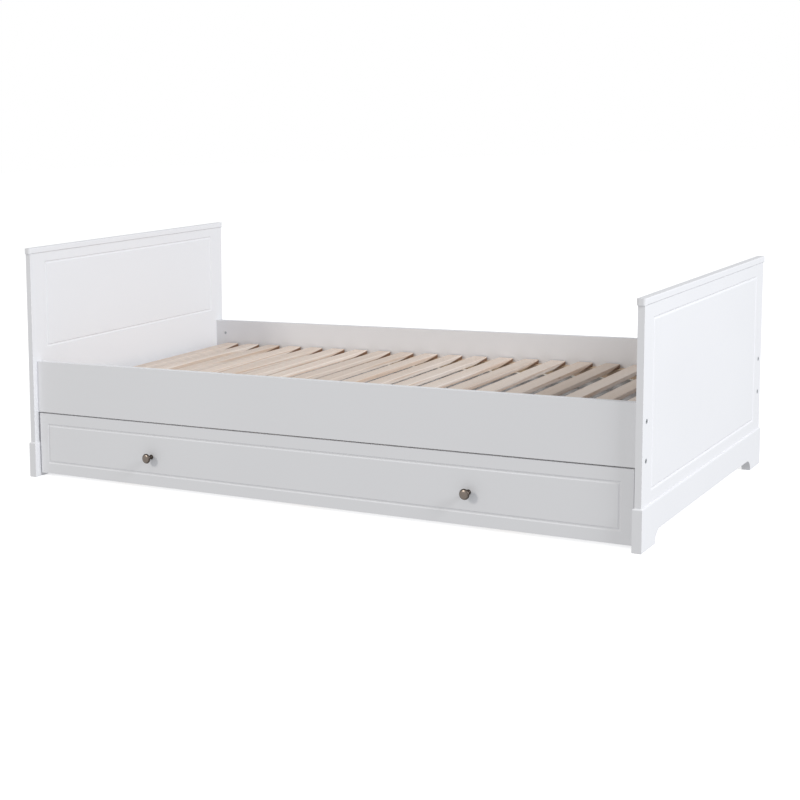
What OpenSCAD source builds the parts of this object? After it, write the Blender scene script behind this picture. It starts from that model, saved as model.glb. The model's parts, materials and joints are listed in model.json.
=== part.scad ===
// Single bed with a wheeled trundle that rolls out from under its front rail.
// +X runs from the headboard to the footboard, -Y is the side the trundle rolls out of,
// and the floor is z = 0 under the middle of the bed.

/* [Bed frame] */
// Clear length between the headboard and the footboard
inner_l = 2010; // [1600:5:2400]
// Width of the headboard and footboard panels
board_w = 978; // [800:1:1300]
// Thickness of the headboard and footboard panels
board_t = 18; // [16:1:30]
// Height of the headboard over the floor
head_h = 733; // [600:1:1000]
// Height of the footboard over the floor
foot_h = 631; // [560:1:1000]

/* [Caps] */
// Height of the cap strip on each board
cap_t = 18; // [14:1:30]
// How far the cap stands out past its panel on every side
cap_over = 4; // [2:0.5:8]
// Radius of the cap's corners, seen from above
cap_corner_r = 8; // [4:1:12]

/* [Plinths] */
// Height of the plinth under each board
plinth_h = 112; // [90:1:140]
// How far the plinth stands out past its panel on every side
plinth_over = 4; // [2:0.5:8]
// Height of the arch cut in the plinth's lower edge
arch_h = 34; // [20:1:45]
// Length of the foot left at each end of the plinth
foot_l = 95; // [60:1:160]

/* [Side rails] */
// Height of the front rail's lower edge over the floor
rail_z = 209; // [190:1:260]
// How far the rear rail reaches below the front one, to stop the trundle and close its gap
rear_drop = 15; // [0:1:40]
// Height of a rail
rail_h = 162; // [140:1:260]
// Thickness of a rail
rail_t = 19; // [18:1:30]
// How far a rail's outer face stands back from the boards' edge
rail_inset = 17; // [8:1:40]
// Depth of the mattress recess, from the rails' top edge to the slats
recess_d = 81; // [50:1:110]

/* [Slatted base] */
// Width of a slat
slat_w = 52; // [45:1:72]
// Thickness of a slat
slat_t = 14; // [10:1:24]
// Number of slats
slat_count = 21; // [12:1:21]
// Gap between the headboard and the first slat
slat_start = 53; // [10:1:120]
// Gap between the last slat and the footboard
slat_finish = 37; // [10:1:120]
// Gap between a slat's end and the rail
slat_end_gap = 4; // [3:1:20]
// Radius of a slat's long edges
slat_r = 3; // [1:0.5:4]
// Width of the ledge that carries the slats
ledge_w = 32; // [28:1:50]
// Height of the ledge that carries the slats
ledge_h = 30; // [24:1:40]
// Gap between the ledge's end and each board
ledge_end_gap = 15; // [2:1:60]
// Width of the webbing strap that spaces the slats
strap_w = 15; // [10:1:25]
// Thickness of the webbing strap
strap_t = 1.4; // [0.8:0.1:3]
// Distance of each strap's middle from the slats' ends
strap_in = 167; // [60:1:300]

/* [Routed panels] */
// Width of the routed groove
groove_w = 9; // [4:0.5:12]
// Depth of the routed groove
groove_d = 2.5; // [1:0.25:4]
// Distance of the boards' grooved rectangle from the panel's upright edges
groove_side = 68; // [40:1:110]
// Distance of the headboard's grooved rectangle below its cap
groove_drop_head = 33; // [20:1:80]
// Distance of the headboard's grooved rectangle above the rails
groove_lift_head = 44; // [20:1:100]
// Distance of the footboard's grooved rectangle below its cap
groove_drop_foot = 39; // [20:1:80]
// Distance of the footboard's grooved rectangle above its plinth
groove_lift_foot = 35; // [20:1:100]
// Distance of the trundle front's grooved rectangle from the front's edges
groove_edge_trundle = 37; // [25:1:55]

/* [Trundle] */
// Height of the trundle front's lower edge over the floor
front_z = 12; // [6:1:25]
// Gap between the trundle front's top edge and the rail
front_top_gap = 4; // [2:1:10]
// Gap between each end of the trundle front and the plinth beside it
front_side_gap = 4; // [2:1:12]
// Thickness of the trundle front
front_t = 18; // [16:1:25]
// Thickness of the box's sides, back and inner front
box_t = 15; // [12:1:20]
// How far the box's lower edge lies above the trundle front's
box_lift = 20; // [10:1:26]
// How far the box's upper edge lies below the trundle front's
box_drop = 2; // [2:1:60]
// How far the box's sides stand in from the ends of the trundle front
box_inset = 22; // [15:1:60]
// Gap between the box's back and the inner face of the rear rail
box_back_gap = 2; // [1:1:60]
// Thickness of the floor panels
floor_t = 8; // [5:1:12]
// Clearance all round a floor panel
floor_gap = 1; // [0.5:0.5:3]
// Width of a bearer under the floor panels
bearer_w = 60; // [50:1:90]
// Thickness of a bearer
bearer_t = 20; // [16:1:28]
// Distance of the outer bearers' middles from the box's sides
bearer_in = 320; // [60:1:450]

/* [Knobs] */
// Diameter of a knob's head
knob_d = 30; // [24:1:40]
// How far a knob stands out from the trundle front
knob_out = 30; // [22:1:36]
// Distance of each knob from the middle of the trundle front
knob_x = 540; // [200:5:640]
// How far the knobs lie below the middle of the trundle front
knob_drop = 6.5; // [0:0.5:20]
// Diameter of the screw that holds a knob
knob_screw_d = 4; // [3:0.5:5]

/* [Castors] */
// Diameter of a castor wheel
wheel_d = 40; // [34:1:48]
// Width of a castor wheel
wheel_w = 16; // [12:1:22]
// Diameter of the wheel's axle
axle_d = 6; // [4:0.5:8]
// Running clearance between the wheel's bore and its axle, on the radius
axle_clearance = 0.08; // [0.02:0.01:0.1]
// Gap between the wheel and the fork's cheeks
cheek_gap = 1.5; // [0.8:0.1:3]
// Thickness of the fork's steel
fork_t = 2; // [1.5:0.1:3]
// Length and width of the castor's mounting plate
plate_w = 48; // [44:1:58]
// Gap between the wheel and the plate above it
wheel_top_gap = 6; // [3:0.5:10]
// Distance of each castor from its bearer's end
castor_in = 91; // [40:1:200]

/* [Fastenings] */
// Diameter of the bed bolts' shank
bolt_d = 6; // [5:0.5:8]
// Diameter of the bed bolts' head
bolt_head_d = 12; // [10:0.5:14]
// Thickness of the bed bolts' head
bolt_head_t = 4; // [3:0.5:6]
// Length of the bed bolts' shank
bolt_l = 70; // [62:1:90]
// Distance of the lower bed bolt above the rail's lower edge
bolt_low = 17; // [12:1:30]
// Distance between the two bed bolts of a corner
bolt_rise = 99; // [70:1:110]
// Diameter of the barrel nuts
nut_d = 10; // [9:0.5:12]
// Length of the barrel nuts
nut_l = 14; // [12:0.5:16]
// Distance of the barrel nuts from the rail's end
nut_x = 42; // [30:1:50]
// Diameter of the dowels
dowel_d = 8; // [6:1:10]
// Length of the dowels
dowel_l = 30; // [24:1:36]
// Wood left between a blind dowel's end and the face beyond it
dowel_cover = 3; // [2:0.5:5]
// Diameter of the wood screws' shank
screw_d = 4; // [3:0.5:5]
// Diameter of the wood screws' countersunk head
screw_head_d = 8; // [6:0.5:10]
// Clearance round a bolt's shank, on the radius
bolt_clearance = 0.3; // [0.1:0.1:1]

/* [Hidden] */
$fn = 48;
slack = 1;
half_l = inner_l / 2;
half_w = board_w / 2;
rail_y = half_w - rail_inset - rail_t / 2;
rail_inner_y = half_w - rail_inset - rail_t;
rail_top = rail_z + rail_h;
slat_top = rail_top - recess_d;
slat_bottom = slat_top - slat_t;
slat_pitch = (inner_l - slat_start - slat_finish - slat_w) / (slat_count - 1);
slat_l = 2 * (rail_inner_y - slat_end_gap);
ledge_l = inner_l - 2 * ledge_end_gap;
strap_y = slat_l / 2 - strap_in;
cap_w = board_t + 2 * cap_over;
cap_round_r = 3;
plinth_w = board_t + 2 * plinth_over;

// trundle: outer sizes from the bay between the plinths and the rails
front_l = inner_l - 2 * plinth_over - 2 * front_side_gap;
front_top = rail_z - front_top_gap;
front_h = front_top - front_z;
front_y = -(half_w - rail_inset);
box_outer_x = front_l / 2 - box_inset;
box_inner_x = box_outer_x - box_t;
box_front_y = front_y + front_t;
box_back_y = rail_inner_y - box_back_gap;
box_z = front_z + box_lift;
box_h = front_top - box_drop - box_z;
bearer_x = box_inner_x - bearer_in;
knob_z = (front_z + front_top) / 2 - knob_drop;
inside_front_y = box_front_y + box_t;
inside_back_y = box_back_y - box_t;
inside_d = inside_back_y - inside_front_y;
inside_mid_y = (inside_front_y + inside_back_y) / 2;
castor_h = wheel_d + wheel_top_gap + fork_t;
castor_y = inside_d / 2 - castor_in;
bearer_z = castor_h;
floor_z = bearer_z + bearer_t;

// castors
axle_z = wheel_d / 2;
fork_inner_w = wheel_w + 2 * cheek_gap;
fork_outer_w = fork_inner_w + 2 * fork_t;
cheek_w = 22;
cheek_r = 8;
cheek_root_h = 10;
plate_r = 4;
rivet_head_d = axle_d + 4;
rivet_head_t = 1.2;
castor_screw_l = 14;
castor_screw_d = 3.5;
castor_screw_head_d = 7;
castor_screw_head_t = 2;

// fastenings
screw_l = 40;
ledge_screw_sink = 8;
ledge_screw_n = 8;
ledge_screw_in = 60;
front_screw_sink = 1;
front_screw_cover = 5;
front_screw_l = box_t + front_t - front_screw_sink - front_screw_cover;
front_screw_in = 80;
knob_screw_head_d = 2 * knob_screw_d;
knob_screw_head_t = 2.5;
knob_thread_l = 10;
bolt_zs = [rail_z + bolt_low, rail_z + bolt_low + bolt_rise];
rail_dowel_z = rail_z + bolt_low + bolt_rise / 2;
board_dowel_n = 5;
board_dowel_step = board_w / board_dowel_n;
nut_cover = 1;
nut_mouth = rail_t - nut_l - nut_cover;
castor_names = ["front_left", "front_right", "rear_left", "rear_right"];
castor_xy = [for (sy = [-1, 1], sx = [-1, 1]) [sx * bearer_x, inside_mid_y + sy * castor_y]];

slat_names = [for (i = [1:slat_count]) str("slat_", i < 10 ? "0" : "", i)];

// ---- shared shapes ----

// Block given by its lowest and highest corners
module block(lo, hi) {
    translate(lo) cube(hi - lo);
}

// Rectangle whose four corners are rounded
module rounded_rect(w, h, r) {
    union() {
        square([w - 2 * r, h], center = true);
        square([w, h - 2 * r], center = true);
        for (x = [-1, 1], y = [-1, 1])
            translate([x * (w / 2 - r), y * (h / 2 - r)]) circle(r);
    }
}

// Rectangle standing on the origin whose upper corners only are rounded
module round_top_rect(w, h, r) {
    union() {
        translate([-w / 2, 0]) square([w, h - r]);
        translate([-w / 2 + r, 0]) square([w - 2 * r, h]);
        for (x = [-1, 1]) translate([x * (w / 2 - r), h - r]) circle(r);
    }
}

// Extrude a shape drawn in the XZ plane along Y, centred on Y
module along_y(l) {
    rotate([90, 0, 0]) linear_extrude(height = l, center = true) children();
}

// Extrude a shape drawn in the YZ plane along X, centred on X
module along_x(l) {
    rotate([90, 0, 90]) linear_extrude(height = l, center = true) children();
}

module x_rod(d, l) {
    rotate([0, 90, 0]) cylinder(d = d, h = l);
}

module y_rod(d, l) {
    rotate([-90, 0, 0]) cylinder(d = d, h = l);
}

// One straight run of the router cutter along X, its middle on the origin
module groove_run(l) {
    bottom_w = groove_w / 4;
    along_x(l) polygon([
        [-groove_w / 2, 0], [-bottom_w / 2, -groove_d], [bottom_w / 2, -groove_d],
        [groove_w / 2, 0], [groove_w / 2, slack], [-groove_w / 2, slack]]);
}

// Cutter for a mitred rectangle w by h, in the XY plane, cutting downwards
module groove_ring(w, h) {
    for (side = [[w, h, 0], [h, w, 90], [w, h, 180], [h, w, 270]]) {
        l = side[0] / 2;
        c = side[1] / 2;
        rotate([0, 0, side[2]]) intersection() {
            translate([0, c, 0]) groove_run(2 * (l + groove_w));
            linear_extrude(height = 4 * groove_d, center = true) polygon([
                [-l - groove_w, c + groove_w], [l + groove_w, c + groove_w],
                [l - groove_w, c - groove_w], [-l + groove_w, c - groove_w]]);
        }
    }
}

// Countersunk wood screw along +X, head's face on the origin
module wood_screw(l) {
    head_h = (screw_head_d - screw_d) / 2;
    rotate([0, 90, 0]) rotate_extrude() polygon([
        [0, 0], [screw_head_d / 2, 0], [screw_d / 2, head_h],
        [screw_d / 2, l - screw_d], [0, l]]);
}

// ---- headboard and footboard ----

// Dowel positions along the width of a board
function board_dowel_ys() = [for (i = [0:board_dowel_n - 1])
    (i - (board_dowel_n - 1) / 2) * board_dowel_step];

// Dowels between a board's pieces and into the ends of both rails
module board_dowels(dir, top) {
    rotate([0, 0, dir > 0 ? 0 : 180]) {
        for (y = board_dowel_ys(), z = [plinth_h - dowel_l / 2, top - dowel_cover - dowel_l])
            translate([half_l + board_t / 2, y, z]) cylinder(d = dowel_d, h = dowel_l);
        for (s = [-1, 1])
            translate([half_l + board_t - dowel_cover - dowel_l, s * rail_y, rail_dowel_z])
                x_rod(dowel_d, dowel_l);
    }
}

// Holes for the bed bolts of both rails, with a recess for each head in the outer face
module bolt_holes(dir) {
    rotate([0, 0, dir > 0 ? 0 : 180]) for (s = [-1, 1], z = bolt_zs) {
        translate([half_l - bolt_l, s * rail_y, z])
            x_rod(bolt_d + 2 * bolt_clearance, bolt_l + board_t);
        translate([half_l + board_t - bolt_head_t, s * rail_y, z])
            x_rod(bolt_head_d + 2 * bolt_clearance, bolt_head_t + slack);
    }
}

// Groove cutter on a board's face: at is the face's x and out its outward direction
module board_groove(at, out, low, high) {
    translate([at, 0, (low + high) / 2]) rotate([0, out * 90, 0])
        groove_ring(high - low, board_w - 2 * groove_side);
}

module board_panel(dir, top) {
    difference() {
        translate([dir * (half_l + board_t / 2), 0, plinth_h])
            block([-board_t / 2, -half_w, 0], [board_t / 2, half_w, top - cap_t - plinth_h]);
        board_dowels(dir, top);
        bolt_holes(dir);
        children();
    }
}

module headboard_panel() {
    low = rail_top + groove_lift_head;
    high = head_h - cap_t - groove_drop_head;
    color("white") board_panel(-1, head_h) {
        board_groove(-half_l, 1, low, high);
        board_groove(-half_l - board_t, -1, plinth_h + groove_lift_foot, high);
    }
}

module footboard_panel() {
    high = foot_h - cap_t - groove_drop_foot;
    color("white") board_panel(1, foot_h)
        board_groove(half_l + board_t, 1, plinth_h + groove_lift_foot, high);
}

module board_cap(dir, top) {
    color("white") difference() {
        translate([dir * (half_l + board_t / 2), 0, top - cap_t]) intersection() {
            linear_extrude(height = cap_t) rounded_rect(cap_w, board_w + 2 * cap_over, cap_corner_r);
            translate([0, 0, cap_t / 2]) along_y(board_w + 2 * cap_over)
                rounded_rect(cap_w, cap_t, cap_round_r);
        }
        board_dowels(dir, top);
    }
}

module headboard_cap() board_cap(-1, head_h);

module footboard_cap() board_cap(1, foot_h);

module plinth_outline() {
    l = board_w + 2 * plinth_over;
    arch_l = l - 2 * foot_l;
    difference() {
        round_top_rect(l, plinth_h, plinth_over);
        translate([-arch_l / 2 + arch_h, -slack]) square([arch_l - 2 * arch_h, arch_h + slack]);
        for (s = [-1, 1]) translate([s * (arch_l / 2 - arch_h), 0]) circle(arch_h);
    }
}

module board_plinth(dir, top) {
    color("white") difference() {
        translate([dir * (half_l + board_t / 2), 0, 0]) intersection() {
            along_x(plinth_w) plinth_outline();
            along_y(board_w + 2 * plinth_over) round_top_rect(plinth_w, plinth_h, plinth_over);
        }
        board_dowels(dir, top);
    }
}

module headboard_plinth() board_plinth(-1, head_h);

module footboard_plinth() board_plinth(1, foot_h);

// ---- rails and ledges ----

function ledge_screw_xs() = [for (i = [0:ledge_screw_n - 1])
    (i - (ledge_screw_n - 1) / 2) * (ledge_l - 2 * ledge_screw_in) / (ledge_screw_n - 1)];

// side is -1 for the front and 1 for the rear, and low is the height of the lower edge
module rail(side, low) {
    color("white") difference() {
        translate([0, side * rail_y, 0])
            block([-half_l, -rail_t / 2, low], [half_l, rail_t / 2, rail_top]);
        for (dir = [-1, 1]) {
            bolt_holes(dir);
            board_dowels(dir, head_h);
            for (z = bolt_zs) translate([dir * (half_l - nut_x), side * (rail_inner_y - slack), z])
                rotate([0, 0, side * 90]) x_rod(nut_d, slack + nut_mouth + nut_l);
        }
        ledge_screw_set(side);
    }
}

module front_rail() rail(-1, rail_z);

module rear_rail() rail(1, rail_z - rear_drop);

// Screws through a ledge into its rail
module ledge_screw_set(side) {
    for (x = ledge_screw_xs())
        translate([x, side * (rail_inner_y - ledge_w + ledge_screw_sink), slat_bottom - ledge_h / 2])
            rotate([0, 0, side * 90]) wood_screw(screw_l);
}

module ledge(side) {
    color("burlywood") difference() {
        translate([0, side * (rail_inner_y - ledge_w / 2), slat_bottom - ledge_h / 2])
            cube([ledge_l, ledge_w, ledge_h], center = true);
        ledge_screw_set(side);
        for (x = ledge_screw_xs())
            translate([x, side * (rail_inner_y - ledge_w + ledge_screw_sink), slat_bottom - ledge_h / 2])
                rotate([0, 0, side * -90]) x_rod(screw_head_d, ledge_w);
    }
}

module front_ledge() ledge(-1);

module rear_ledge() ledge(1);

module ledge_screws() {
    color("silver") for (side = [-1, 1]) ledge_screw_set(side);
}

// ---- slatted base ----

// x of the middle of slat i, counted from 0 at the headboard
function slat_x(i) = -half_l + slat_start + slat_w / 2 + i * slat_pitch;

module slat(i) {
    color("wheat") translate([slat_x(i), 0, slat_top - slat_t / 2])
        along_y(slat_l) rounded_rect(slat_w, slat_t, slat_r);
}

module slat_straps() {
    color("white") for (side = [-1, 1])
        block([slat_x(0) - slat_w / 2, side * strap_y - strap_w / 2, slat_bottom - strap_t],
              [slat_x(slat_count - 1) + slat_w / 2, side * strap_y + strap_w / 2, slat_bottom]);
}

// ---- bed fastenings ----

module bed_bolt() {
    head_x = half_l + board_t - bolt_head_t;
    socket_d = bolt_head_d / 2.4;
    difference() {
        union() {
            translate([head_x, 0, 0]) x_rod(bolt_head_d, bolt_head_t);
            translate([head_x - bolt_l, 0, 0]) x_rod(bolt_d, bolt_l);
        }
        translate([head_x + bolt_head_t / 4, 0, 0]) rotate([0, 90, 0])
            cylinder(d = socket_d, h = bolt_head_t, $fn = 6);
    }
}

module bed_bolts() {
    color("silver") for (turn = [0, 180], s = [-1, 1], z = bolt_zs)
        rotate([0, 0, turn]) translate([0, s * rail_y, z]) bed_bolt();
}

module barrel_nuts() {
    color("silver") for (turn = [0, 180], s = [-1, 1], z = bolt_zs)
        rotate([0, 0, turn]) difference() {
            translate([half_l - nut_x, s * (rail_inner_y + nut_mouth), z])
                rotate([0, 0, s * 90]) x_rod(nut_d, nut_l);
            translate([half_l - nut_x - nut_d, s * rail_y, z]) x_rod(bolt_d, 2 * nut_d);
        }
}

module dowels() {
    color("tan") {
        board_dowels(-1, head_h);
        board_dowels(1, foot_h);
    }
}

// ---- trundle box ----

// Every wood screw of the trundle: sides to front and back, bearers, and the front's fixing
module trundle_screw_set() {
    corner_zs = [box_z + box_h / 5, box_z + box_h * 4 / 5];
    for (s = [-1, 1], y = [box_front_y + box_t / 2, box_back_y - box_t / 2], z = corner_zs)
        translate([s * box_outer_x, y, z]) rotate([0, 0, s > 0 ? 180 : 0]) wood_screw(screw_l);
    for (x = [-bearer_x, 0, bearer_x], s = [-1, 1]) {
        translate([x, s > 0 ? box_back_y : box_front_y, bearer_z + bearer_t / 2])
            rotate([0, 0, s * -90]) wood_screw(screw_l);
    }
}

// Screws from inside the box into the trundle front
module front_screw_set() {
    for (x = [-1, -0.5, 0.5, 1] * (box_inner_x - front_screw_in))
        translate([x, inside_front_y - front_screw_sink, box_z + box_h * 0.8])
            rotate([0, 0, -90]) wood_screw(front_screw_l);
}

module knob_screw_holes() {
    for (s = [-1, 1])
        translate([s * knob_x, front_y - slack, knob_z]) y_rod(knob_screw_d, front_t + box_t + 2 * slack);
}

module trundle_front() {
    color("white") difference() {
        block([-front_l / 2, front_y, front_z], [front_l / 2, front_y + front_t, front_top]);
        translate([0, front_y, (front_z + front_top) / 2]) rotate([90, 0, 0])
            groove_ring(front_l - 2 * groove_edge_trundle, front_h - 2 * groove_edge_trundle);
        knob_screw_holes();
        front_screw_set();
    }
}

module trundle_inner_front() {
    color("white") difference() {
        block([-box_inner_x, box_front_y, box_z], [box_inner_x, inside_front_y, box_z + box_h]);
        knob_screw_holes();
        front_screw_set();
        trundle_screw_set();
    }
}

module trundle_back() {
    color("white") difference() {
        block([-box_inner_x, inside_back_y, box_z], [box_inner_x, box_back_y, box_z + box_h]);
        trundle_screw_set();
    }
}

module trundle_side(s) {
    color("white") difference() {
        translate([s * (box_inner_x + box_t / 2), 0, 0])
            block([-box_t / 2, box_front_y, box_z], [box_t / 2, box_back_y, box_z + box_h]);
        trundle_screw_set();
    }
}

module trundle_side_left() trundle_side(-1);

module trundle_side_right() trundle_side(1);

module trundle_floor(s) {
    floor_l = box_inner_x - 1.5 * floor_gap;
    color("white") translate([s * (floor_gap + floor_l) / 2, 0, 0])
        block([-floor_l / 2, inside_front_y + floor_gap, floor_z],
              [floor_l / 2, inside_back_y - floor_gap, floor_z + floor_t]);
}

module trundle_floor_left() trundle_floor(-1);

module trundle_floor_right() trundle_floor(1);

module trundle_bearer(x) {
    color("burlywood") difference() {
        block([x - bearer_w / 2, inside_front_y, bearer_z],
              [x + bearer_w / 2, inside_back_y, bearer_z + bearer_t]);
        trundle_screw_set();
        castor_screw_set();
    }
}

module trundle_bearer_left() trundle_bearer(-bearer_x);

module trundle_bearer_middle() trundle_bearer(0);

module trundle_bearer_right() trundle_bearer(bearer_x);

module trundle_screws() {
    color("silver") {
        trundle_screw_set();
        front_screw_set();
    }
}

// ---- knobs ----

// Round knob turned about +Z: a flared foot, a waisted stem and a domed head with a rim
module knob_shape() {
    foot_r = knob_d * 0.32;
    stem_r = knob_d * 0.17;
    rim_r = knob_d / 2;
    rim_z = knob_out * 0.72;
    dome_h = knob_out - rim_z;
    dome_n = 12;
    rotate_extrude() difference() {
        polygon(concat(
            [[0, 0], [foot_r, 0], [foot_r, 2], [foot_r - 1.5, 3.5], [stem_r + 1, 6],
             [stem_r, knob_out * 0.35], [stem_r + 1, knob_out * 0.5],
             [rim_r - 3, rim_z - 3.5], [rim_r - 0.5, rim_z - 1.5]],
            [for (i = [0:dome_n]) let (a = 90 * i / dome_n)
                [rim_r * cos(a), rim_z + dome_h * sin(a)]]));
        square([knob_screw_d / 2, knob_thread_l]);
    }
}

module knob(s) {
    color("gray") translate([s * knob_x, front_y, knob_z]) rotate([90, 0, 0]) knob_shape();
}

module knob_left() knob(-1);

module knob_right() knob(1);

module knob_screws() {
    color("silver") for (s = [-1, 1]) translate([s * knob_x, inside_front_y, knob_z]) rotate([90, 0, 0])
        union() {
            cylinder(d = knob_screw_d, h = box_t + front_t + knob_thread_l);
            translate([0, 0, -knob_screw_head_t]) cylinder(d = knob_screw_head_d, h = knob_screw_head_t);
        }
}

// ---- castors ----

module castor_screw_set() {
    offset_xy = plate_w / 2 - castor_screw_head_d / 2 - 1;
    for (c = castor_xy, sx = [-1, 1], sy = [-1, 1])
        translate([c[0] + sx * offset_xy, c[1] + sy * offset_xy, castor_h - fork_t - castor_screw_head_t])
            union() {
                cylinder(d = castor_screw_head_d, h = castor_screw_head_t);
                cylinder(d = castor_screw_d, h = castor_screw_l + castor_screw_head_t);
            }
}

module castor_screws() {
    color("silver") castor_screw_set();
}

// Pressed steel fork: a mounting plate with a cheek on each side of the wheel
module castor_fork(i) {
    c = castor_xy[i];
    color("silver") difference() {
        translate([c[0], c[1], 0]) {
            translate([0, 0, castor_h - fork_t]) linear_extrude(height = fork_t)
                rounded_rect(plate_w, plate_w, plate_r);
            for (s = [-1, 1]) translate([s * (fork_outer_w - fork_t) / 2, 0, 0])
                along_x(fork_t) union() {
                    translate([0, axle_z]) circle(cheek_r);
                    translate([-cheek_r, axle_z]) square([2 * cheek_r, castor_h - fork_t - axle_z]);
                    translate([-cheek_w / 2, castor_h - fork_t - cheek_root_h])
                        square([cheek_w, cheek_root_h]);
                }
        }
        castor_screw_set();
        castor_axle(i);
    }
}

module castor_axle(i) {
    c = castor_xy[i];
    translate([c[0], c[1], axle_z]) {
        translate([-fork_outer_w / 2, 0, 0]) x_rod(axle_d, fork_outer_w);
        for (s = [-1, 1])
            translate([s * (fork_outer_w + rivet_head_t) / 2 - rivet_head_t / 2, 0, 0])
                x_rod(rivet_head_d, rivet_head_t);
    }
}

module castor_axles() {
    color("silver") for (i = [0:3]) castor_axle(i);
}

// Moulded wheel: a tread with rounded shoulders, a dished web and a hub
module castor_wheel(i) {
    c = castor_xy[i];
    shoulder_r = 2;
    dish_d = 2.5;
    dish_w = (wheel_d - axle_d) / 2 - 9;
    color("dimgray") translate([c[0], c[1], axle_z]) rotate([0, 90, 0]) rotate_extrude() difference() {
        translate([wheel_d / 4, 0]) rounded_rect(wheel_d / 2, wheel_w, shoulder_r);
        square([axle_d + 2 * axle_clearance, 2 * wheel_w], center = true);
        for (s = [-1, 1]) translate([wheel_d / 4 + axle_d / 4, s * wheel_w / 2])
            square([dish_w, 2 * dish_d], center = true);
    }
}

// ---- the assembly ----

headboard_panel();
headboard_cap();
headboard_plinth();
footboard_panel();
footboard_cap();
footboard_plinth();
front_rail();
rear_rail();
front_ledge();
rear_ledge();
for (i = [0:slat_count - 1])
    slat(i);
slat_straps();
bed_bolts();
barrel_nuts();
dowels();
ledge_screws();
trundle_front();
trundle_inner_front();
trundle_back();
trundle_side_left();
trundle_side_right();
trundle_floor_left();
trundle_floor_right();
trundle_bearer_left();
trundle_bearer_middle();
trundle_bearer_right();
knob_left();
knob_right();
knob_screws();
trundle_screws();
castor_screws();
for (i = [0:3])
    castor_fork(i);
castor_axles();
for (i = [0:3])
    castor_wheel(i);
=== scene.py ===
import json
import math

import bmesh
import bpy
import numpy as np
from bpy.props import FloatProperty, FloatVectorProperty, IntProperty, PointerProperty
from bpy.types import Operator, Panel, PropertyGroup
from mathutils import Matrix, Vector

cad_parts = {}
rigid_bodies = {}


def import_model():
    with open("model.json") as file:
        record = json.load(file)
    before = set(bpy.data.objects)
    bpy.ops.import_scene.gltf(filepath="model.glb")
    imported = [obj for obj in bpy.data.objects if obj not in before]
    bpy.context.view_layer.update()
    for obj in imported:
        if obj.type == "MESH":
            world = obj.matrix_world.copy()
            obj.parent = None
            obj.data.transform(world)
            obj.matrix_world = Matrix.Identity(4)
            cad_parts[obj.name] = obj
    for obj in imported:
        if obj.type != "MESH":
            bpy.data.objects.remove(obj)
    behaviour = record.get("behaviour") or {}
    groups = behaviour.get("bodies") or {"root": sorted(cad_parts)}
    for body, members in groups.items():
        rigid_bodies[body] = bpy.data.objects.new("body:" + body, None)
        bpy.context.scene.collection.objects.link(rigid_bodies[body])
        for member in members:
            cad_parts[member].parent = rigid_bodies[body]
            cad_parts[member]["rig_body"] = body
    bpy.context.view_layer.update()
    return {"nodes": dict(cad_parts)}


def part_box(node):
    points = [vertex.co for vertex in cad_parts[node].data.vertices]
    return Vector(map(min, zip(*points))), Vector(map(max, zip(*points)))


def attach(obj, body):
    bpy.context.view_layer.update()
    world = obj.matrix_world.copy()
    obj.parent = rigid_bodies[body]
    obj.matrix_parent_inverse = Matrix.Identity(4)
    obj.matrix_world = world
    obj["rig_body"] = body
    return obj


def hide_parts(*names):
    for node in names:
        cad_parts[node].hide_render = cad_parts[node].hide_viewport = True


bl_info = {
    "name": "Trundle Bed",
    "version": (1, 0, 0),
    "blender": (4, 5, 0),
    "location": "3D View > Sidebar > Trundle Bed",
    "description": "Finished pieces and studio for a single bed with a wheeled trundle",
    "category": "Object",
}

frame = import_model()
MM = 0.001
CASTORS = ("front_left", "front_right", "rear_left", "rear_right")
SLATS = sorted(name for name in frame["nodes"] if name.startswith("slat_") and name[-1].isdigit())


def linear(code):
    """Linear RGB of an sRGB hex colour such as #f0f0f2."""
    parts = [int(code[i:i + 2], 16) / 255 for i in (1, 3, 5)]
    return tuple(c / 12.92 if c <= 0.04045 else ((c + 0.055) / 1.055) ** 2.4 for c in parts)


def colour(name, description, code):
    """A colour property that starts as an sRGB hex colour."""
    return FloatVectorProperty(name=name, description=description, size=3, min=0, max=1,
                               subtype="COLOR", default=linear(code))


def length(name, description, mm, low, high):
    """A length property given in millimetres."""
    return FloatProperty(name=name, description=description, default=mm * MM, min=low * MM,
                         max=high * MM, unit="LENGTH", subtype="DISTANCE", precision=4)


def number(name, description, default, **more):
    """A plain number property."""
    return FloatProperty(name=name, description=description, default=default, **more)


def angle(name, description, degrees, **more):
    """An angle property given in degrees."""
    return number(name, description, math.radians(degrees), unit="ROTATION", subtype="ANGLE", **more)


# ---- settings ----

class BedSizes(PropertyGroup):
    """Sizes of the details that finish the bed's pieces"""
    board_round: length("Board edges", "Radius sanded on the edges of the lacquered boards", 1.2, 0.2, 3)
    groove_round: length("Thin edges", "Radius on small pieces and thin panels", 0.5, 0.1, 1.5)
    slat_round: length("Slat edges", "Radius planed on the long edges of a slat", 3, 1, 5)
    slat_corner: length("Slat corners", "Radius of a slat's corners, seen from above", 5, 2, 20)
    slat_shift: length("Slat shift", "Most that a slat lies out of its even place", 1.2, 0, 3)
    # The seed is chosen so that two slats towards the footboard come out darker, partly as painted shade
    slat_seed: IntProperty(name="Slat seed", description="Picks how the slats differ", default=962, min=0)
    slat_turn: angle("Slat turn", "Most that a slat lies out of square", 0.12, min=0, max=0.01)
    strap_sag: length("Strap sag", "How far a strap hangs below the slats between two staples", 2, 0, 6)
    staple_wire: length("Staple wire", "Thickness of the staples' wire", 1, 0.5, 2)
    staple_crown: length("Staple crown", "Length of a staple across its strap", 9, 6, 12)
    wheel_rib: length("Wheel rib", "Thickness of the ribs in a wheel's web", 1.6, 1, 3)
    wheel_ribs: IntProperty(name="Wheel ribs", description="Number of ribs in a wheel's web", default=8,
                            min=3, max=16)


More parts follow.
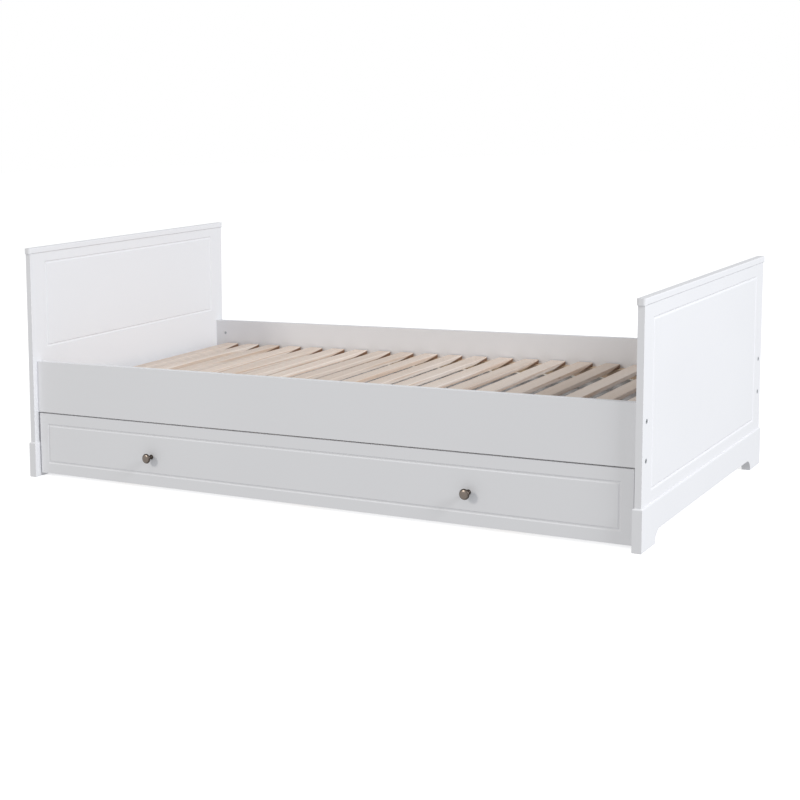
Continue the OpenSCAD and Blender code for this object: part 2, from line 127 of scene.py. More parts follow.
class BedColours(PropertyGroup):
    """Colours of the bed's finishes and of the studio"""
    lacquer: colour("Lacquer", "White lacquer of the boards", "#ebebee")
    pine_pale: colour("Pine, early wood", "Pale wood between the growth rings", "#f2ebe4")
    pine_dark: colour("Pine, late wood", "Darker lines of the growth rings", "#d4bba6")
    # Also painted as shade on the slats' sides near their ends
    pine_end_and_painted_shade: colour("Pine, end grain", "Sawn ends of the wood", "#70513c")
    pine_knot: colour("Pine, knots", "Knots in the wood", "#7d5236")
    ledge_pine: colour("Ledge pine", "Yellower wood of the ledges and bearers", "#e8cfa4")
    beech: colour("Beech", "Beech of the dowels", "#d8b48a")
    webbing: colour("Webbing", "Straps that space the slats", "#e9e4da")
    pewter: colour("Pewter", "Raised metal of the knobs", "#b5a79c")
    # Also painted round the knobs' rims as shade
    pewter_patina_and_shade: colour("Pewter, darkened", "Darkened metal in the knobs' hollows", "#2e2825")
    zinc: colour("Zinc", "Zinc plate on the steel fastenings", "#c3c8cc")
    nylon: colour("Nylon", "Moulded castor wheels", "#3a3b3d")
    board: colour("Hardboard", "White face of the trundle's floor panels", "#e4e4e4")
    floor: colour("Floor", "Pale studio floor", "#f4f4f4")


class BedStage(PropertyGroup):
    """Studio light and camera"""
    fill: number("Fill", "Strength of the light from all round", 0.52, min=0, max=3)
    key: number("Key", "Power of the soft box beyond the footboard", 757, min=0, unit="POWER")
    front: number("Front", "Power of the soft box in front of the bed", 176, min=0, unit="POWER")
    side: number("Side", "Power of the low soft box beyond the footboard", 100, min=0, unit="POWER")
    floor_glow: number("Floor glow", "Light added to the pale floor", 0.56, min=0)
    lens: number("Lens", "Focal length on a 36 mm wide sensor", 63.786, min=20, max=200, unit="CAMERA")
    yaw: angle("Yaw", "Turn of the camera to the left", 31.747)
    pitch: angle("Pitch", "Tilt of the camera downwards", 6.385)
    roll: angle("Roll", "Roll of the camera", -2.559)
    shift_x: number("Shift X", "Sideways shift of the lens, in picture widths", 0.04)
    shift_y: number("Shift Y", "Upward shift of the lens, in picture widths", -0.15)
    skew: number("Skew", "Sideways lean of upright lines in the picture", 0.04207)


def sizes():
    return bpy.context.scene.bed_sizes


def colours():
    return bpy.context.scene.bed_colours


# ---- nodes ----

def node(tree, kind, inputs=None, **settings):
    """Adds a node. Its inputs are values, or outputs of other nodes to link from."""
    made = tree.nodes.new(kind)
    for name, value in settings.items():
        setattr(made, name, value)
    for key, value in (inputs or {}).items():
        if isinstance(value, bpy.types.Node):
            value = value.outputs[0]
        if isinstance(value, bpy.types.NodeSocket):
            tree.links.new(value, made.inputs[key])
        else:
            made.inputs[key].default_value = value
    return made


def maths(tree, operation, *values, clamp=False):
    """A math node on up to three values."""
    return node(tree, "ShaderNodeMath", dict(enumerate(values)), operation=operation, use_clamp=clamp)


def noise(tree, place, size, detail=2.0):
    """A noise texture whose marks are about this size."""
    return node(tree, "ShaderNodeTexNoise", {"Vector": place, "Scale": 1 / size, "Detail": detail})


def spread(tree, value, low, high):
    """Maps a value of 0 to 1 onto low to high."""
    return node(tree, "ShaderNodeMapRange", {"Value": value, "To Min": low, "To Max": high})


def blend(tree, amount, low, high, blend_type="MIX"):
    """The colour output of a mix of two colours, each given as RGB or as an output."""
    low, high = (c if isinstance(c, bpy.types.NodeSocket) else (*c, 1.0) for c in (low, high))
    mixed = node(tree, "ShaderNodeMix", {0: amount, 6: low, 7: high}, data_type="RGBA", blend_type=blend_type)
    return mixed.outputs[2]


def relief(tree, height, strength, distance):
    """A bump this many millimetres deep."""
    return node(tree, "ShaderNodeBump", {"Height": height, "Strength": strength, "Distance": distance * MM})


def blank_material(name, slot):
    """An empty node material, with the record's slot it belongs to."""
    material = bpy.data.materials.new(name)
    material.use_nodes = True
    material.node_tree.nodes.clear()
    material["slot"] = slot
    return material, material.node_tree


def surface(tree, **inputs):
    """Ends a material in one principled shader; inputs are named with _ for each space."""
    shader = node(tree, "ShaderNodeBsdfPrincipled", {k.replace("_", " "): v for k, v in inputs.items()})
    node(tree, "ShaderNodeOutputMaterial", {"Surface": shader})


def wave_scale(spacing):
    """Scale of a wave texture whose lines lie this many metres apart."""
    return 2 * math.pi / (20 * spacing)


# Each material is made once and then shared
_made = {}


def material(maker):
    """The material that a function makes, made on first use."""
    if maker not in _made:
        _made[maker] = maker()
    return _made[maker]


# ---- materials ----

def sprayed_white_lacquer():
    """MDF sprayed with satin white lacquer: an even, soft sheen with a faint orange peel."""
    made, tree = blank_material("sprayed_white_lacquer", "white_lacquer")
    place = node(tree, "ShaderNodeTexCoord").outputs["Object"]
    # Sprayed coats vary over about 300 mm, and the orange peel is drawn at 7 mm so that it can show
    cloud = noise(tree, place, 300 * MM)
    peel = noise(tree, place, 7 * MM, 1.0)
    bump = relief(tree, peel, 0.25, 0.04)
    base = Vector(colours().lacquer)
    tint = blend(tree, cloud, base * 0.985, base * 1.012)
    gloss = spread(tree, cloud, 0.36, 0.44)
    surface(tree, Base_Color=tint, Roughness=gloss, IOR=1.5, Normal=bump)
    return made


def pine(name, pale, dark, turned, numbered):
    """Planed pine: growth rings, fine fibre, a few knots and browner end grain, and on the slats painted
    shade on their sides near the ends.

    turned is the angle that lays the grain along the piece, and numbered shifts
    the grain of each slat by its stored number."""
    made, tree = blank_material(name, "pine")
    coords = node(tree, "ShaderNodeTexCoord")
    place = node(tree, "ShaderNodeMapping", {"Vector": coords.outputs["Object"], "Rotation": (0, 0, turned)})
    if numbered:
        number = node(tree, "ShaderNodeAttribute", attribute_name="slat_number").outputs["Fac"]
        step = node(tree, "ShaderNodeCombineXYZ", {
            0: maths(tree, "MULTIPLY", number, 0.173), 1: maths(tree, "MULTIPLY", number, 1.37),
            2: maths(tree, "MULTIPLY", number, 0.041)})
        place = node(tree, "ShaderNodeVectorMath", {0: place, 1: step}, operation="ADD")
    # Growth rings 5 mm apart, drawn out along the grain
    drawn = node(tree, "ShaderNodeMapping", {
        "Vector": place, "Scale": (1, 0.05, 1), "Location": (0, 0, -0.31)})
    rings = node(tree, "ShaderNodeTexWave", {
        "Vector": drawn, "Scale": wave_scale(5 * MM), "Distortion": 9.0, "Detail": 2.0,
        "Detail Scale": 0.35}, wave_type="RINGS", rings_direction="Y")
    late = node(tree, "ShaderNodeMapRange", {
        "Value": rings.outputs["Fac"], "From Min": 0.35, "From Max": 1.0}, interpolation_type="SMOOTHSTEP")
    # Fibre 1.2 mm across and about 40 mm long
    fibre_place = node(tree, "ShaderNodeMapping", {
        "Vector": place, "Scale": (1 / (1.2 * MM), 1 / (40 * MM), 1 / (1.2 * MM))})
    fibre = noise(tree, fibre_place, 1.0)
    # Knots in cells 240 mm long and 80 mm wide, two cells in five holding one
    knot_place = node(tree, "ShaderNodeMapping", {
        "Vector": place, "Scale": (1 / (80 * MM), 1 / (240 * MM), 1 / (80 * MM))})
    cells = node(tree, "ShaderNodeTexVoronoi", {"Vector": knot_place, "Scale": 1.0})
    core = node(tree, "ShaderNodeMapRange", {
        "Value": cells.outputs["Distance"], "From Min": 0.05, "From Max": 0.09, "To Min": 1.0, "To Max": 0.0})
    chance = node(tree, "ShaderNodeSeparateColor", {0: cells.outputs["Color"]})
    held = maths(tree, "GREATER_THAN", chance, 0.6)
    knot = maths(tree, "MULTIPLY", core, held, clamp=True)
    # Broad streaks of warmer wood
    streak_place = node(tree, "ShaderNodeMapping", {
        "Vector": place, "Scale": (1 / (45 * MM), 1 / (900 * MM), 1 / (45 * MM))})
    streak = noise(tree, streak_place, 1.0, 1.0)
    grain = maths(tree, "ADD", maths(tree, "MULTIPLY", late, 0.5), maths(tree, "MULTIPLY", streak, 0.55))
    grain = maths(tree, "ADD", grain, maths(tree, "MULTIPLY", fibre, 0.18), clamp=True)
    wood = blend(tree, grain, pale, dark)
    if numbered:
        # Slats sawn from different boards, from a browner one to a nearly white one; the seed makes two slats
        # towards the footboard darker, partly as painted shade
        tone = node(tree, "ShaderNodeAttribute", attribute_name="slat_tone").outputs["Fac"]
        cast = blend(tree, tone, (0.82, 0.79, 0.77), (1.07, 1.08, 1.1))
        wood = blend(tree, 1.0, wood, cast, "MULTIPLY")
    facing = node(tree, "ShaderNodeSeparateXYZ", {
        0: node(tree, "ShaderNodeMapping", {"Vector": coords.outputs["Normal"], "Rotation": (0, 0, turned)})})
    square = maths(tree, "ABSOLUTE", facing.outputs["Y"])
    end = node(tree, "ShaderNodeMapRange", {"Value": square, "From Min": 0.1, "From Max": 0.6})
    ended = blend(tree, end, wood, colours().pine_end_and_painted_shade)
    if numbered:
        # Painted shade: the slats' sides darken to the end-grain brown over their last 80 mm, more so towards
        # the lower edge
        spot = node(tree, "ShaderNodeSeparateXYZ", {0: coords.outputs["Object"]})
        along = maths(tree, "ABSOLUTE", spot.outputs["Y"])
        top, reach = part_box(SLATS[0])[1].z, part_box(SLATS[0])[1].y
        deep = maths(tree, "SUBTRACT", top, spot.outputs["Z"])
        slope = maths(tree, "MULTIPLY_ADD", deep, 8.0, along)
        # Mask of the painted shade, deeper towards the lower edge
        painted_end_shade = node(tree, "ShaderNodeMapRange", {"Value": slope, "From Min": reach - 3 * MM,
                                                    "From Max": reach + 22 * MM})
        ended = blend(tree, painted_end_shade, ended, colours().pine_end_and_painted_shade)
    knotted = blend(tree, knot, ended, colours().pine_knot)
    bump = relief(tree, maths(tree, "ADD", late, fibre), 0.35, 0.12)
    gloss = spread(tree, grain, 0.62, 0.5)
    surface(tree, Base_Color=knotted, Roughness=gloss, IOR=1.5, Normal=bump)
    return made


def planed_slat_pine():
    """Unfinished planed pine of the slats, pale and slightly pink."""
    return pine("planed_slat_pine", colours().pine_pale, colours().pine_dark, 0, True)


def sawn_ledge_pine():
    """Yellower pine of the ledges, its grain along the bed."""
    return pine("sawn_ledge_pine", colours().ledge_pine, colours().pine_dark, math.pi / 2, False)


def sawn_bearer_pine():
    """Yellower pine of the trundle's bearers, its grain across the bed."""
    return pine("sawn_bearer_pine", colours().ledge_pine, colours().pine_dark, 0, False)


def turned_beech():
    """Fluted beech dowel: even pale brown with short flecks."""
    made, tree = blank_material("turned_beech", "beech")
    place = node(tree, "ShaderNodeTexCoord").outputs["Object"]
    # Beech flecks about 0.8 mm wide and 3 mm long
    stretched = node(tree, "ShaderNodeMapping", {
        "Vector": place, "Scale": (1 / (0.8 * MM), 1 / (0.8 * MM), 1 / (3 * MM))})
    fleck = noise(tree, stretched, 1.0)
    base = Vector(colours().beech)
    surface(tree, Base_Color=blend(tree, fleck, base, base * 0.72), Roughness=0.6, IOR=1.5)
    return made


def woven_webbing():
    """Polyester webbing: flat ribs across the strap, soft and not shiny."""
    made, tree = blank_material("woven_webbing", "webbing")
    place = node(tree, "ShaderNodeTexCoord").outputs["Object"]
    # Ribs 1.5 mm apart across the strap and threads 1 mm apart along it
    across = node(tree, "ShaderNodeTexWave", {"Vector": place, "Scale": wave_scale(1.5 * MM)},
                  bands_direction="X")
    along = node(tree, "ShaderNodeTexWave", {"Vector": place, "Scale": wave_scale(1 * MM)},
                 bands_direction="Y")
    weave = maths(tree, "MULTIPLY", across.outputs["Fac"], along.outputs["Fac"])
    base = Vector(colours().webbing)
    cloth = blend(tree, weave, base * 0.78, base)
    bump = relief(tree, weave, 0.6, 0.3)
    surface(tree, Base_Color=cloth, Roughness=0.85, Sheen_Weight=0.25, Normal=bump)
    return made


def antique_pewter():
    """Cast zinc plated like old pewter: brushed bright on the crown with a painted highlight in its middle,
    painted shade round the rim, dark in the hollows.
    """
    made, tree = blank_material("antique_pewter", "pewter")
    place = node(tree, "ShaderNodeTexCoord").outputs["Object"]
    # worn carries the rubbed crown together with its painted highlight and the painted shade round the rim
    worn = node(tree, "ShaderNodeAttribute", attribute_name="worn").outputs["Fac"]
    # Patina blotches 4 mm across and buffing marks 0.5 mm apart
    blotch = noise(tree, place, 4 * MM, 4.0)
    marks = noise(tree, place, 0.5 * MM)
    bright = maths(tree, "ADD", worn, spread(tree, blotch, -0.22, 0.22), clamp=True)
    metal = blend(tree, bright, colours().pewter_patina_and_shade, colours().pewter)
    gloss = spread(tree, bright, 0.5, 0.24)
    surface(tree, Base_Color=metal, Metallic=1.0, Roughness=gloss, Normal=relief(tree, marks, 0.15, 0.05))
    return made


def zinc_plated_steel():
    """Zinc plated steel: cool grey with a cloudy satin shine."""
    made, tree = blank_material("zinc_plated_steel", "zinc_steel")
    place = node(tree, "ShaderNodeTexCoord").outputs["Object"]
    # Cloudy plating about 3 mm across
    cloud = noise(tree, place, 3 * MM, 3.0)
    base = Vector(colours().zinc)
    metal = blend(tree, cloud, base * 0.8, base)
    surface(tree, Base_Color=metal, Metallic=1.0, Roughness=spread(tree, cloud, 0.42, 0.28))
    return made


def moulded_nylon():
    """Moulded nylon wheel: dark grey with a fine matt grain and scuffs on the tread."""
    made, tree = blank_material("moulded_nylon", "castor_nylon")
    place = node(tree, "ShaderNodeTexCoord").outputs["Object"]
    # Spark eroded mould grain 0.6 mm across, and scuffs about 5 mm long
    grit = noise(tree, place, 0.6 * MM)
    scuff = noise(tree, place, 5 * MM, 4.0)
    base = Vector(colours().nylon)
    worn = blend(tree, scuff, base, base * 1.5)
    gloss = spread(tree, scuff, 0.42, 0.6)
    surface(tree, Base_Color=worn, Roughness=gloss, IOR=1.53, Normal=relief(tree, grit, 0.2, 0.05))
    return made


def faced_hardboard():
    """Thin hardboard with a printed white face: flat, with a faint pressed texture."""
    made, tree = blank_material("faced_hardboard", "white_lacquer")
    place = node(tree, "ShaderNodeTexCoord").outputs["Object"]
    # Pressed texture 2 mm across, and clouding 80 mm across
    press = noise(tree, place, 2 * MM)
    cloud = noise(tree, place, 80 * MM)
    base = Vector(colours().board)
    face = blend(tree, cloud, base * 0.97, base)
    bump = relief(tree, press, 0.2, 0.05)
    surface(tree, Base_Color=face, Roughness=0.55, IOR=1.5, Normal=bump)
    return made


def pale_floor():
    """Seamless paper: matt, pale and evenly lit."""
    made, tree = blank_material("pale_floor", "")
    place = node(tree, "ShaderNodeTexCoord").outputs["Object"]
    # Paper fibre 4 mm across
    fibre = noise(tree, place, 4 * MM)
    base = Vector(colours().floor)
    paper = blend(tree, fibre, base * 0.99, base)
    surface(tree, Base_Color=paper, Roughness=0.95, Specular_IOR_Level=0.0,
            Emission_Color=(1, 1, 1, 1), Emission_Strength=bpy.context.scene.bed_stage.floor_glow)
    return made


# ---- meshes ----

def link(name, mesh, maker):
    """A new object at the origin whose mesh already holds its place."""
    piece = bpy.data.objects.new(name, mesh)
    bpy.context.scene.collection.objects.link(piece)
    if maker:
        mesh.materials.clear()
        mesh.materials.append(material(maker))
        mesh.polygons.foreach_set("material_index", [0] * len(mesh.polygons))
    return piece


def settle(piece):
    """Turns a piece's modifiers into its plain mesh."""
    bpy.context.view_layer.update()
    graph = bpy.context.evaluated_depsgraph_get()
    mesh = bpy.data.meshes.new_from_object(piece.evaluated_get(graph), depsgraph=graph)
    piece.modifiers.clear()
    piece.data = mesh
    mesh.name = piece.name
    return piece


def stand_for(piece, body, *names):
    """Makes a finished piece ride on its body and replace its CAD nodes."""
    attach(piece, body)
    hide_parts(*names)
    return piece


def body_of(name):
    return frame["nodes"][name]["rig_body"]


def mesh_of(bm, name, smooth=False):
    """The mesh that a bmesh holds. Frees the bmesh."""
    for face in bm.faces:
        face.smooth = smooth
    mesh = bpy.data.meshes.new(name)
    bm.to_mesh(mesh)
    bm.free()
    return mesh


def merged(name):
    """A bmesh copy of a CAD node with its loose triangles joined and its flat faces made whole."""
    bm = bmesh.new()
    bm.from_mesh(frame["nodes"][name].data)
    bmesh.ops.remove_doubles(bm, verts=bm.verts, dist=2e-6)
    bmesh.ops.dissolve_limit(bm, angle_limit=math.radians(0.3), verts=bm.verts, edges=bm.edges)
    return bm


def rounded(name, maker, radius, segments=3):
    """Replaces a CAD node by a copy whose sharp edges are rounded."""
    piece = link(name + "_finished", mesh_of(merged(name), name, True), maker)
    bevel = piece.modifiers.new("edges", "BEVEL")
    bevel.width = radius
    bevel.segments = segments
    bevel.limit_method = "ANGLE"
    bevel.angle_limit = math.radians(25)
    # Large flat faces keep their own normal, so only the rounded edges shade as curves
    piece.modifiers.new("normals", "WEIGHTED_NORMAL").weight = 100
    settle(piece)
    return stand_for(piece, body_of(name), name)


def lathe(profile, steps=64):
    """A mesh turned about Z from (radius, height) points, closed where they meet the axis."""
    bm = bmesh.new()
    points = [bm.verts.new((r, 0, z)) for r, z in profile]
    edges = [bm.edges.new(pair) for pair in zip(points, points[1:])]
    if profile[0] == profile[-1]:
        bmesh.ops.remove_doubles(bm, verts=bm.verts, dist=1e-7)
        points, edges = list(bm.verts), list(bm.edges)
    bmesh.ops.spin(bm, geom=points + edges, cent=(0, 0, 0), axis=(0, 0, 1), angle=2 * math.pi,
                   steps=steps, use_merge=True)
    bmesh.ops.remove_doubles(bm, verts=bm.verts, dist=1e-6)
    bmesh.ops.recalc_face_normals(bm, faces=bm.faces)
    return mesh_of(bm, "turned", True)


def arc(cx, cz, r, start, end, n):
    """Points of an arc in a lathe profile, angles in degrees from the radius axis."""
    return [(cx + r * math.cos(math.radians(start + (end - start) * i / n)),
             cz + r * math.sin(math.radians(start + (end - start) * i / n))) for i in range(n + 1)]


def cut(piece, cutter):
    """Cuts one mesh object out of another and removes the cutter."""
    boolean = piece.modifiers.new("cut", "BOOLEAN")
    boolean.object = cutter
    boolean.solver = "EXACT"
    settle(piece)
    bpy.data.objects.remove(cutter)
    return piece


def islands(name):
    """Corner arrays of each separate solid in a CAD node."""
    bm = bmesh.new()
    bm.from_mesh(frame["nodes"][name].data)
    bmesh.ops.remove_doubles(bm, verts=bm.verts, dist=2e-6)
    left, found = set(bm.verts), []
    while left:
        stack, group = [left.pop()], []
        while stack:
            vert = stack.pop()
            group.append(vert.co.copy())
            for edge in vert.link_edges:
                other = edge.other_vert(vert)
                if other in left:
                    left.remove(other)
                    stack.append(other)
        found.append(np.array(group))
    bm.free()
    return sorted(found, key=lambda g: tuple(np.round(g.mean(0), 4)))


def fastener_points(name):
    """Head centre and outward direction of each screw or bolt in a CAD node, and one's size."""
    heads, ways = [], []
    for group in islands(name):
        low, high = group.min(0), group.max(0)
        axis = int(np.argmax(high - low))
        middle = (low + high) / 2
        spread = np.delete(group - middle, axis, 1)
        radius = np.linalg.norm(spread, axis=1)
        widest = group[radius > radius.max() * 0.98][:, axis].mean()
        way = np.zeros(3)
        way[axis] = 1.0 if widest > middle[axis] else -1.0
        head = middle.copy()
        head[axis] = high[axis] if way[axis] > 0 else low[axis]
        heads.append(head)
        ways.append(way)
    return np.array(heads), np.array(ways), 2 * radius.max(), 2 * radius.min(), float((high - low)[axis])


# ---- geometry nodes ----

def growing_tree(name, inputs):
    """A geometry tree with named inputs. Returns it, its input node and the sockets by name."""
    tree = bpy.data.node_groups.new(name, "GeometryNodeTree")
    tree.interface.new_socket("Geometry", in_out="INPUT", socket_type="NodeSocketGeometry")
    tree.interface.new_socket("Geometry", in_out="OUTPUT", socket_type="NodeSocketGeometry")
    named = {key: tree.interface.new_socket(key, in_out="INPUT", socket_type="NodeSocket" + kind)
             for key, kind in inputs.items()}
    return tree, node(tree, "NodeGroupInput"), named


def end_tree(tree, geometry, maker):
    """Ends a geometry tree in Realize Instances and Set Material."""
    real = node(tree, "GeometryNodeRealizeInstances", {0: geometry})
    painted = node(tree, "GeometryNodeSetMaterial", {"Geometry": real, "Material": material(maker)})
    node(tree, "NodeGroupOutput", {0: painted})


def grow(name, mesh, tree, named, values, maker):
    """Runs a geometry tree on a mesh and keeps the result as a plain mesh object."""
    piece = bpy.data.objects.new(name, mesh)
    bpy.context.scene.collection.objects.link(piece)
    grown = piece.modifiers.new("grow", "NODES")
    grown.node_group = tree
    for key, value in values.items():
        grown[named[key].identifier] = value
    settle(piece)
    piece.data.materials.clear()
    piece.data.materials.append(material(maker))
    for other in values.values():
        if isinstance(other, bpy.types.Object):
            bpy.data.objects.remove(other)
    return piece


def fasten(name, pattern, maker, turned=True):
    """Puts a copy of a fastener on every one of a CAD node's, each turned by chance."""
    heads, ways = fastener_points(name)[:2]
    mesh = bpy.data.meshes.new(name)
    mesh.from_pydata(heads.tolist(), [], [])
    mesh.attributes.new("way", "FLOAT_VECTOR", "POINT").data.foreach_set("vector", ways.ravel())
    tree, source, named = growing_tree(name, {"Fastener": "Object", "Turn": "Float", "Seed": "Int"})
    way = node(tree, "GeometryNodeInputNamedAttribute", {"Name": "way"}, data_type="FLOAT_VECTOR")
    aim = node(tree, "FunctionNodeAlignRotationToVector", {"Vector": way}, axis="Z")
    chance = node(tree, "FunctionNodeRandomValue", {
        "Max": source.outputs["Turn"], "Seed": source.outputs["Seed"]}, data_type="FLOAT")
    spin = node(tree, "FunctionNodeAxisAngleToRotation", {"Axis": (0, 0, 1), "Angle": chance.outputs[1]})
    facing = node(tree, "FunctionNodeRotateRotation", {0: aim, 1: spin}, rotation_space="LOCAL")
    shape = node(tree, "GeometryNodeObjectInfo", {"Object": source.outputs["Fastener"], "As Instance": True})
    placed = node(tree, "GeometryNodeInstanceOnPoints", {
        "Points": source.outputs["Geometry"], "Instance": shape.outputs["Geometry"], "Rotation": facing})
    end_tree(tree, placed, maker)
    piece = grow(name + "_finished", mesh, tree, named,
                 {"Fastener": pattern, "Turn": math.tau if turned else 0.0, "Seed": 7}, maker)
    return stand_for(piece, body_of(name), name)


def cross_cutter(width, depth):
    """A tapered cross that cuts a screwdriver recess downwards from the origin."""
    a, b = width / 2, width * 0.11
    arm = [(a, -b), (a, b), (b, b)]
    outline = arm + [(-y, x) for x, y in arm] + [(-x, -y) for x, y in arm] + [(y, -x) for x, y in arm]
    bm = bmesh.new()
    top, foot = [[bm.verts.new((x * taper, y * taper, z)) for x, y in outline]
                 for taper, z in ((1, depth), (0.45, -depth))]
    bm.faces.new(top)
    bm.faces.new(foot)
    for i in range(len(outline)):
        bm.faces.new((top[i - 1], top[i], foot[i], foot[i - 1]))
    bmesh.ops.recalc_face_normals(bm, faces=bm.faces)
    return link("cross", mesh_of(bm, "cross"), None)


def screw(name, flat_head):
    """A cross-head wood screw with its head's face at the origin and its shank downwards."""
    head_d, shank_d, size = fastener_points(name)[2:]
    r, s = head_d / 2, shank_d / 2
    if flat_head:
        profile = [(0, 0), (r * 0.8, 0), (r, -0.4 * MM), (r, -1.6 * MM), (s, -2 * MM)]
    else:
        profile = [(0, 0), (r - 0.2 * MM, 0), (r, -0.2 * MM), (s, -(r - s) - 0.2 * MM)]
    pitch, depth = 1.6 * MM, profile[-1][1]
    for i in range(max(int((size - 8 * MM) / pitch), 0)):
        z = depth - 2 * MM - i * pitch
        profile += [(s * 0.75, z), (s, z - pitch / 2)]
    profile += [(s * 0.75, -size + 3 * MM), (0, -size)]
    piece = link("screw", lathe(profile, 16), None)
    return cut(piece, cross_cutter(head_d * 0.55, 1.6 * MM))


# ---- operators ----

class BED_OT_boards(Operator):
    """Headboard and footboard: lacquered panels, caps and plinths with sanded edges"""
    bl_idname = "bed.boards"
    bl_label = "Headboard and footboard"

    def execute(self, context):
        for board in ("headboard", "footboard"):
            for part in ("panel", "cap", "plinth"):
                rounded(f"{board}_{part}", sprayed_white_lacquer, sizes().board_round)
        return {"FINISHED"}


class BED_OT_rails(Operator):
    """Lacquered side rails and the pine ledges screwed to them"""
    bl_idname = "bed.rails"
    bl_label = "Rails and ledges"

    def execute(self, context):
        for side in ("front", "rear"):
            rounded(f"{side}_rail", sprayed_white_lacquer, sizes().board_round)
            rounded(f"{side}_ledge", sawn_ledge_pine, sizes().groove_round)
        return {"FINISHED"}


class BED_OT_slats(Operator):
    """Pine slats laid evenly between the boards, each a little out of its even place"""
    bl_idname = "bed.slats"
    bl_label = "Slats"

    def execute(self, context):
        low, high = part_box(SLATS[0])
        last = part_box(SLATS[-1])[0]
        size = high - low
        pitch = (last.x - low.x) / (len(SLATS) - 1)
        pattern = self.slat(size)
        tree, source, named = growing_tree("slats", {
            "Slat": "Object", "Count": "Int", "Start": "Vector", "Pitch": "Float", "Shift": "Float",
            "Turn": "Float", "Seed": "Int", "Tone Seed": "Int"})
        out = source.outputs
        step = node(tree, "ShaderNodeCombineXYZ", {0: out["Pitch"]})
        row = node(tree, "GeometryNodeMeshLine", {"Count": out["Count"], "Start Location": out["Start"],
                                                  "Offset": step})
        least = node(tree, "ShaderNodeVectorMath", {0: out["Shift"], 1: (-0.3, -1, 0)}, operation="MULTIPLY")
        most = node(tree, "ShaderNodeVectorMath", {0: out["Shift"], 1: (0.3, 1, 0)}, operation="MULTIPLY")
        shift = node(tree, "FunctionNodeRandomValue", {0: least, 1: most, "Seed": out["Seed"]},
                     data_type="FLOAT_VECTOR")
        moved = node(tree, "GeometryNodeSetPosition", {"Geometry": row, "Offset": shift})
        back = maths(tree, "MULTIPLY", out["Turn"], -1.0)
        angle = node(tree, "FunctionNodeRandomValue", {2: back, 3: out["Turn"], "Seed": out["Seed"]},
                     data_type="FLOAT")
        turn = node(tree, "FunctionNodeAxisAngleToRotation", {"Axis": (0, 0, 1), "Angle": angle.outputs[1]})
        shape = node(tree, "GeometryNodeObjectInfo", {"Object": out["Slat"], "As Instance": True})
        placed = node(tree, "GeometryNodeInstanceOnPoints", {
            "Points": moved, "Instance": shape.outputs["Geometry"], "Rotation": turn})
        number = node(tree, "GeometryNodeInputIndex")
        numbered = node(tree, "GeometryNodeStoreNamedAttribute", {
            "Geometry": placed, "Name": "slat_number", "Value": number}, data_type="FLOAT", domain="INSTANCE")
        chance = node(tree, "FunctionNodeRandomValue", {"Seed": out["Tone Seed"]}, data_type="FLOAT")
        toned = node(tree, "GeometryNodeStoreNamedAttribute", {
            "Geometry": numbered, "Name": "slat_tone", "Value": chance.outputs[1]}, data_type="FLOAT",
            domain="INSTANCE")
        end_tree(tree, toned, planed_slat_pine)
        piece = grow("slats_finished", bpy.data.meshes.new("slats"), tree, named, {
            "Slat": pattern, "Count": len(SLATS), "Start": (low + high) / 2, "Pitch": pitch,
            "Shift": sizes().slat_shift, "Turn": sizes().slat_turn, "Seed": 11,
            "Tone Seed": sizes().slat_seed}, planed_slat_pine)
        stand_for(piece, body_of(SLATS[0]), *SLATS)
        return {"FINISHED"}

    def slat(self, size):
        """One slat about the origin, its corners and then all its other edges rounded."""
        bm = bmesh.new()
        bmesh.ops.create_cube(bm, size=1, matrix=Matrix.Diagonal((*size, 1)))
        corners = [e for e in bm.edges if abs((e.verts[0].co - e.verts[1].co).normalized().z) > 0.9]
        bmesh.ops.bevel(bm, geom=corners, offset=sizes().slat_corner, segments=6, profile=0.5, affect="EDGES")
        rims = [e for e in bm.edges if abs(e.verts[0].co.z - e.verts[1].co.z) < 1e-6]
        bmesh.ops.bevel(bm, geom=rims, offset=sizes().slat_round, segments=4, profile=0.5, affect="EDGES")
        piece = link("slat", mesh_of(bm, "slat", True), None)
        piece.modifiers.new("normals", "WEIGHTED_NORMAL").weight = 100
        return settle(piece)


